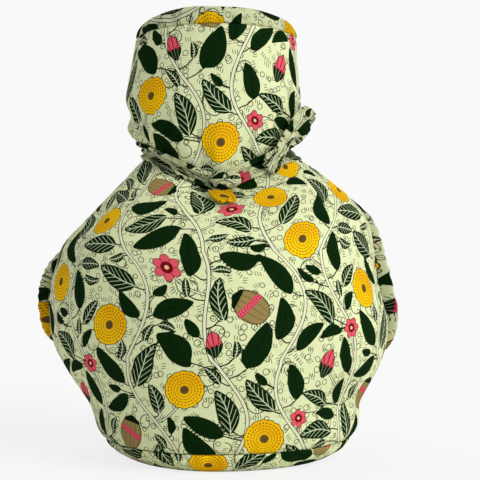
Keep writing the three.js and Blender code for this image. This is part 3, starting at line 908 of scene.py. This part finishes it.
def ring_map(points):
    """Distances on the cloth for a ring closed both ways, with its first line repeated at the end
    of each direction: across is along the ring's longest row and up is along the profile."""
    closed = np.concatenate([points, points[:1]])
    closed = np.concatenate([closed, closed[:, :1]], axis=1)
    longest = run_length(closed, 1)[:, -1].argmax()
    across = run_length(closed, 1)[longest][None, :] + np.zeros(closed.shape[:2])
    return across, run_length(closed, 0)[:, :1] + np.zeros(closed.shape[:2])


def band(name, points, node, material, shift, turn):
    """Ring closed both ways, printed with the cloth cut in its own direction."""
    piece = grid_object(name, in_place(points), wrap_rows=True, wrap_columns=True)
    across, up = ring_map(points)
    print_cloth(piece, across, up, shift, turn)
    piece.data.materials.append(material)
    place_piece(piece, node)
    return piece, (float(across.max()) * MM, float(up.max()) * MM)


def casing_points():
    """The casing's profile carried round the wall. Its gathers are 41 shallow ripples that are
    deepest half-way up the outside, and fade towards the floor and the seam."""
    rows = in_between(CASING_PROFILE, 2)
    follow, inset, height = rows[:, :1], rows[:, 1:2], rows[:, 2:]
    turn = ring_turns()[None, :]
    point = out_level(turn, follow, -inset)
    ripple = bell(height - 6.2, 3.2) * (inset < 1.2)
    sway = np.sin(41 * turn + 2 * np.sin(5 * turn)) + 0.5 * np.sin(67 * turn + 1.3)
    puff = 0.38 * ripple * sway
    scale = 1 + puff / np.hypot(point[..., 0], point[..., 1])
    return np.stack([point[..., 0] * scale, point[..., 1] * scale, height + 0 * turn], axis=-1)


# Painted light: the casing's cotton is 8% brighter than the panels', to offset the shade under the hem
casing_painted_light_cotton = cotton("cotton_casing_painted_light", painted_light_scale=1.08)
hem_casing, _ = band(
    "hem_strip", casing_points(), "hem_casing", casing_painted_light_cotton, (20.0, 61.0), radians(80))


# ---------------------------------------------------------------------------
# Rim band
# A second strip of the cotton, folded over the cut edge of the open top and sewn down at the
# rim line, so that it stands a little proud of the crown.

# Down the inside, then up the outside and over the top: height and distance out from the wall
RIM_PROFILE = np.array([
    (251.9, -1.5), (252.0, -2.2), (251.6, -3.0), (250.6, -3.6), (248.6, -3.9), (245.5, -3.8), (242.2, -3.1),
    (241.9, -1.4), (241.9, -0.4), (242.6, 0.1), (244.0, 0.3), (246.0, 0.4), (248.0, 0.3), (249.8, 0.0),
    (251.0, -0.5), (251.7, -0.9),
])


def rim_points():
    """The rim's profile carried round the wall, along its normal. The strip has 31 shallow puckers,
    deepest at the seam, and its top edge is a little uneven."""
    rows = in_between(RIM_PROFILE, 2)
    height, lift = rows[:, :1], rows[:, 1:]
    turn = ring_turns()[None, :]
    z = height + 0.35 * smooth(246, 252, height) * (np.sin(3 * turn + 1) + 0.6 * np.sin(7 * turn))
    z = np.minimum(z, TOP)
    pucker = bell(height - RIM_LINE, 5) * (lift > 0) * np.sin(31 * turn + 2 * np.sin(4 * turn))
    slack = 0.25 * bell(height - 247, 4) * (lift > 0) * np.sin(17 * turn + 1.4 * np.sin(3 * turn))
    return wall(turn, z) + (lift + 0.3 * pucker + slack)[..., None] * wall_normal(turn, z)


# Painted shade: the rim's cotton is darkened to three quarters, for the shade on the band rolled over the
# top
rim_painted_shade_cotton = cotton("cotton_rim_painted_shade", painted_light_scale=0.75)
rim_band, _ = band(
    "rim_strip", rim_points(), "rim_band", rim_painted_shade_cotton, (96.0, 12.0), radians(-96))


# ---------------------------------------------------------------------------
# Slot bindings
# Narrow folded strips sewn round the slots for the spout and the handle. They stand on edge
# against the cut edges of the panels and meet in a point at each end.

BINDING = {"thick": 2.4, "inset": 0.45}
SPOUT_STAND = {"stand": 5.9, "fade": 0.0, "low_ends": 0.9}
HANDLE_STAND = {"stand": 7.0, "fade": 0.75, "low_ends": 0.6}
BINDING_COLUMNS = 260

# Share of the thickness from the panel's side, and share of the height stood out, up one side,
# over the fold and down the other
BINDING_SHARES = np.array([
    (0.06, 0.00), (-0.02, 0.14), (-0.05, 0.30), (-0.04, 0.48), (0.00, 0.66), (0.06, 0.82), (0.16, 0.92),
    (0.32, 0.98), (0.50, 1.00), (0.68, 0.98), (0.84, 0.92), (0.94, 0.82), (1.00, 0.66), (1.00, 0.48),
    (0.98, 0.30), (0.96, 0.14), (0.94, 0.00), (0.50, 0.00),
])


def binding_points(slot, size):
    """The folded section carried round the slot's lens. On the lens, a quarter turn is half-way up
    the front edge. The strip's height fades towards both ends, and it puckers along its length."""
    rows = in_between(BINDING_SHARES, 2)
    inward, out = rows[:, :1], rows[:, 1:]
    turn = (np.arange(BINDING_COLUMNS) / BINDING_COLUMNS * 2 * pi)[None, :]
    turn = turn if slot["side"] == "left" else -turn
    along = np.cos(turn)
    across = np.sign(np.sin(turn)) * (1 - along ** 2)
    inset = BINDING["inset"] + BINDING["thick"] * inward
    slant = np.hypot(1, slot["reach"] / (2 * slot["half"]))
    z = slot["middle"] + along * (slot["reach"] - inset * slant)
    y = across * (slot["half"] - inset)
    stand = size["stand"] * (1 - size["fade"] * np.maximum(0, along))
    stand = stand * (1 - size["low_ends"] * along ** 4)
    pucker = 0.28 * np.sin(34 * turn + 3 * np.sin(5 * turn)) * out * (1 - along ** 6)
    lift = -CLOTH + (stand + CLOTH) * out + pucker
    wide = np.where(y < 0, half_width("front", z), half_width("back", z))
    lean = np.arcsin(np.abs(y) / wide)
    place = lean if slot["side"] == "right" else pi - lean
    place = np.where(y < 0, place, -place)
    return wall(place, z) + lift[..., None] * wall_normal(place, z)


# Painted shade: the bindings' cotton is darkened to three quarters, for the shade along the slots
binding_painted_shade_cotton = cotton("cotton_bindings_painted_shade", painted_light_scale=0.74)
spout_binding, _ = band(
    "spout_strip", binding_points(SPOUT_SLOT, SPOUT_STAND), "spout_binding",
    binding_painted_shade_cotton, (31.0, 70.0), radians(10))
handle_binding, _ = band(
    "handle_strip", binding_points(HANDLE_SLOT, HANDLE_STAND), "handle_binding",
    binding_painted_shade_cotton, (110.0, 33.0), radians(25))


# ---------------------------------------------------------------------------
# Neck tie
# A strip of the cotton that is wrung and pulled tight in the neck. It lies in a V at the front,
# with lengthwise folds that run into each other.

TIE = {"half": 5.0, "clear": 0.5, "edge": 1.4, "crown": 3.2}
TIE_COLUMNS = 620


def tie_points():
    """Strip in the neck. Up its height the face bulges as a flattened circle, and carries three
    lengthwise folds whose phase drifts round the neck, and crumples across them."""
    v = np.concatenate([np.linspace(-1, 1, 26), np.linspace(1, -1, 8)[1:-1]])[:, None]
    face = (np.arange(len(v)) < 26)[:, None]
    turn = (-np.arange(TIE_COLUMNS) / TIE_COLUMNS * 2 * pi)[None, :]
    round_face = TIE["edge"] + (TIE["crown"] - TIE["edge"]) * np.sqrt(np.clip(1 - np.abs(v) ** 3, 0, 1))
    phase = 3.4 * np.sin(turn + 0.5) + 1.5 * np.sin(4 * turn) + 5 * turn
    lengthwise = 0.95 * np.cos(3.2 * pi * v + phase) + 0.30 * np.cos(6.1 * pi * v - 7 * turn)
    crumple = 0.24 * np.sin(11 * turn + 2.5 * v + 2 * np.sin(3 * turn))
    crumple = crumple + 0.08 * np.sin(23 * turn - 4 * v)
    relief = (lengthwise + crumple) * (1 - v ** 4)
    lift = np.where(face, round_face + relief - 0.25, TIE["clear"])
    z = NECK + TIE["half"] * v + np.where(face, 0.5 * np.sin(6 * turn + 1) * (1 - np.abs(v)), 0)
    return out_level(turn, z, lift)


# Painted shade: the tie's cotton is darkened to 0.8, for the shade in the neck. The knot and both ends take
# it too
tie_painted_shade_cotton = cotton("cotton_tie_painted_shade", painted_light_scale=0.80)
neck_tie, tie_cut = band(
    "tie_strip", tie_points(), "neck_tie", tie_painted_shade_cotton, (60.0, 88.0), radians(64))


# ---------------------------------------------------------------------------
# Knot
# The two ends of the tie are knotted once at the front. The knot is a small wrapped lump with
# folds that follow the turn of the cloth.

KNOT = {"turn": radians(84), "wide": 8.5, "deep": 5.0, "tall": 5.6, "out": 1.5, "rise": 1.0}


def knot_points(rows, columns):
    """Ellipsoid on latitudes and longitudes, its poles at the sides. Its radius falls in grooves
    that run askew across it, and in finer folds that bend round it."""
    polar = np.linspace(0, pi, rows)[:, None]
    around = (np.arange(columns) / columns * 2 * pi)[None, :]
    x = np.cos(polar) + 0 * around
    y = -np.sin(polar) * np.cos(around)
    z = np.sin(polar) * np.sin(around)
    askew = z * np.cos(0.62) - x * np.sin(0.62)
    groove = 0.13 * bell(askew - 0.18, 0.13) + 0.10 * bell(askew + 0.42, 0.12)
    fine = 0.022 * np.sin(17 * askew + 3 * x) + 0.015 * np.sin(26 * askew - 5 * x + 2)
    r = 1 - (groove - fine) * np.sin(polar) ** 0.5
    seat = wall(np.array(KNOT["turn"]), np.array(NECK))
    out = wall_normal(KNOT["turn"], NECK) * (3.6 + KNOT["deep"] + KNOT["out"])
    centre = seat + out + np.array([0, 0, KNOT["rise"]])
    return centre + np.stack([x * KNOT["wide"] * r, y * KNOT["deep"] * r, z * KNOT["tall"] * r], axis=-1)


def close_poles(piece):
    """Merges the points that a pole row puts in one place, and turns the faces outwards."""
    shape = bmesh.new()
    shape.from_mesh(piece.data)
    bmesh.ops.remove_doubles(shape, verts=shape.verts, dist=1e-7)
    bmesh.ops.recalc_face_normals(shape, faces=shape.faces)
    shape.to_mesh(piece.data)
    shape.free()


def make_knot():
    """The knot, printed as though the cloth were wrapped from pole to pole."""
    points = knot_points(72, 112)
    piece = grid_object("knot", in_place(points), wrap_columns=True)
    rows, columns = points.shape[:2]
    across = np.linspace(0, 24, rows)[:, None] + np.zeros((rows, columns + 1))
    up = np.linspace(0, 44, columns + 1)[None, :] + np.zeros((rows, columns + 1))
    print_cloth(piece, across, up, (64.0, 9.0), radians(30))
    close_poles(piece)
    # The knot takes the tie's cotton, with its painted shade
    piece.data.materials.append(tie_painted_shade_cotton)
    place_piece(piece, "tie_knot")
    return piece


knot = make_knot()


# ---------------------------------------------------------------------------
# Tie ends
# The long end leaves the tie on the right, climbs beside the crown and stands out past it as an
# ear. The short end comes out under the knot and lies on the shoulder.

EAR = {"from": radians(56), "to": radians(7), "lift": 5.3, "tip_lift": 6.8, "thick": 2.4}
EAR_LOW = {"start": 170.5, "rise": 23.5, "power": 1.6}
EAR_HIGH = {"start": 179.5, "flare": 19.3, "droop": 2.9}
SHORT_END = {"from": radians(89), "to": radians(84), "half": radians(6.8), "high": 164.5, "low": 155.0}


def ear_points():
    """Sheet from the tie to the tip. Its lower edge rises as a power of the way along; its upper
    edge flares up, then droops to meet it at the tip. Three lengthwise pleats fade towards the
    tip, where the sheet curls out along its upper edge."""
    s = np.linspace(0, 1, 96)[None, :]
    v = np.linspace(0, 1, 44)[:, None]
    turn = EAR["from"] + (EAR["to"] - EAR["from"]) * s
    low = EAR_LOW["start"] + EAR_LOW["rise"] * s ** EAR_LOW["power"]
    high = EAR_HIGH["start"] + EAR_HIGH["flare"] * smooth(0.05, 0.6, s)
    high = high - EAR_HIGH["droop"] * smooth(0.6, 1, s)
    z = low + (high - low) * v
    lift = EAR["lift"] + (EAR["tip_lift"] - EAR["lift"]) * s * s
    pleats = 0.75 * np.cos(5.2 * pi * v + 1.5 * s) * (1 - smooth(0.35, 1.0, s))
    curl = 1.1 * smooth(0.35, 1, s) * (2 * v - 1) ** 2 - 0.8 * smooth(0.5, 1, s) * np.sin(2 * pi * v)
    return out_level(turn, z, lift + EAR["thick"] - 0.3 + pleats + curl)


def short_end_points():
    """Sheet that hangs from under the knot and comes to rest on the shoulder, narrower towards its
    tip, with a crease down its middle."""
    s = np.linspace(1, 0, 48)[:, None]
    v = np.linspace(1, -1, 40)[None, :]
    z = SHORT_END["high"] + (SHORT_END["low"] - SHORT_END["high"]) * s
    middle = SHORT_END["from"] + (SHORT_END["to"] - SHORT_END["from"]) * s
    turn = middle + SHORT_END["half"] * (1 - 0.5 * s * s) * v
    lift = 4.2 + (2.8 - 4.2) * s
    crease = 0.7 * bell(v - 0.15, 0.3) - 0.35 * bell(v + 0.55, 0.25)
    edge = 0.4 * smooth(0.5, 1, s) * v * v
    return wall(turn, z) + (lift + crease + edge)[..., None] * wall_normal(turn, z)


def make_end(name, points, node, thickness, shift, turn):
    """One free end: an open sheet with its print and thickness."""
    piece = grid_object(name, in_place(points))
    across = run_length(points, 1)
    up = run_length(points, 0)
    print_cloth(piece, across, up, shift, turn)
    # The ends take the tie's cotton, with its painted shade
    piece.data.materials.append(tie_painted_shade_cotton)
    give_thickness(piece, thickness)
    place_piece(piece, node)
    return piece, (float(across.max()) * MM, float(up.max()) * MM)


ear, ear_cut = make_end("long_end", ear_points(), "tie_ear", 1.6, (128.0, 60.0), radians(40))
short_end, short_cut = make_end("short_end", short_end_points(), "tie_end", 1.4, (72.0, 112.0), 0.0)
